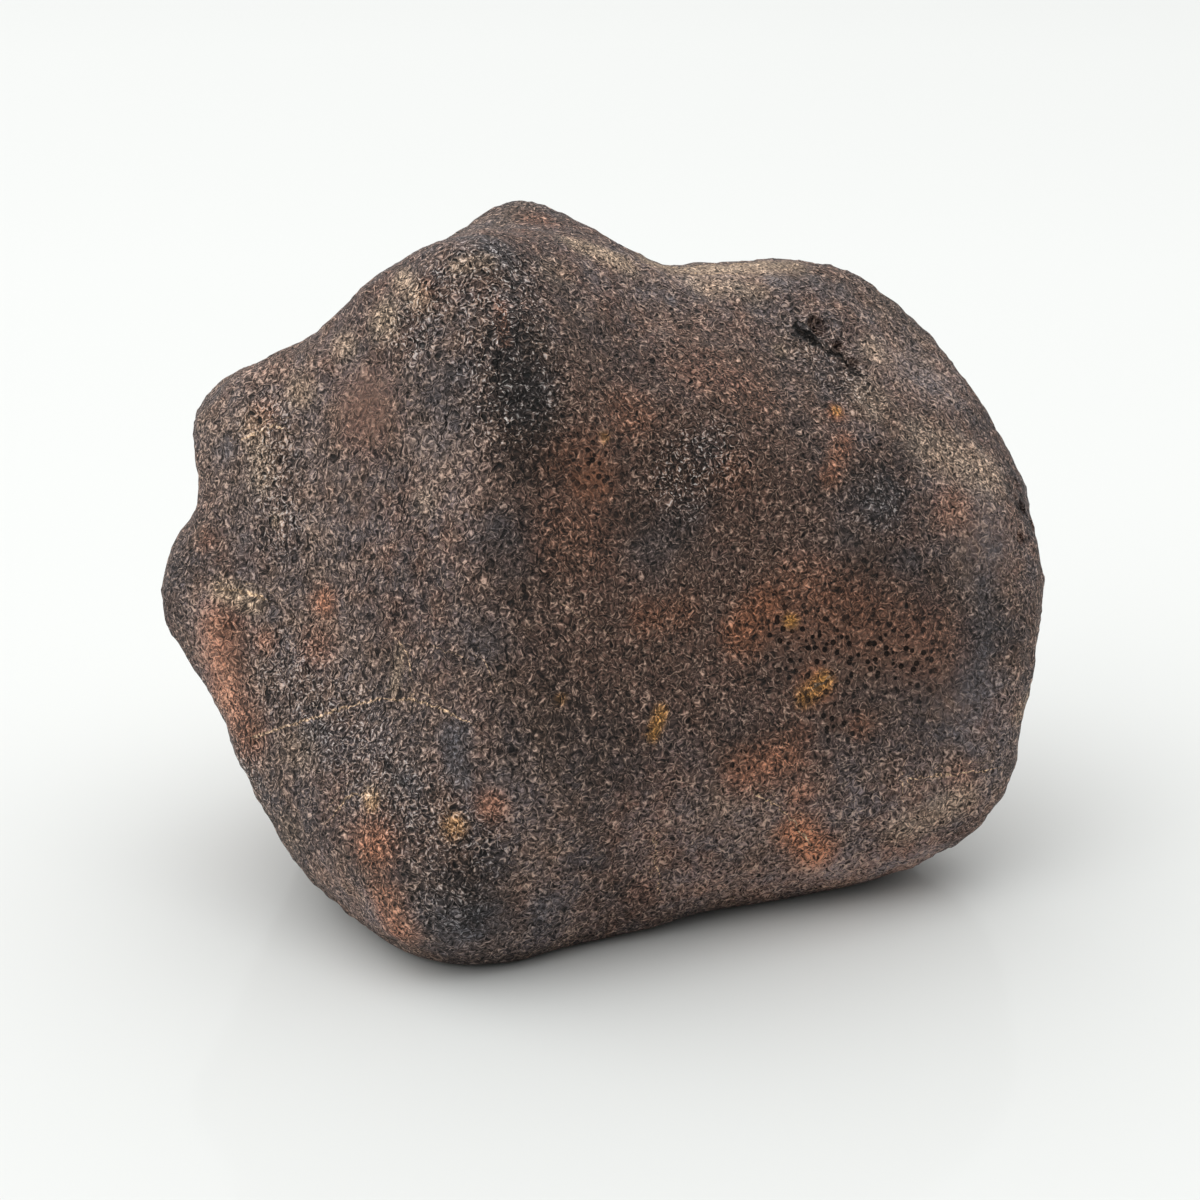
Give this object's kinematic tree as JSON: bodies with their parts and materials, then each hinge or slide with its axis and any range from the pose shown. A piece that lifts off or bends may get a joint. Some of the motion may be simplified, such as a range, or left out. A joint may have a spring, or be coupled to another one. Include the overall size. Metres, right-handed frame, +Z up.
{
  "type": "chondrite meteorite",
  "caption": "Palm-sized stony meteorite: a blunt faceted chunk with rounded ridges, shallow thumbprint hollows and small pits, resting on its flat-worn base.",
  "frame": {"origin": "middle of the stone's box, on the surface that the stone rests on", "axes": "+Z up; +X along the stone's longest side, to the right as the show side is seen; the show side faces -Y"},
  "size_m": [0.0494, 0.0366, 0.0373],
  "materials": {
    "stone": "weathered fusion crust, dark grey-brown with rust and pale buff patches, matt and finely pitted"
  },
  "bodies": {
    "root": {"stone": "stone"}
  },
  "joints": []
}
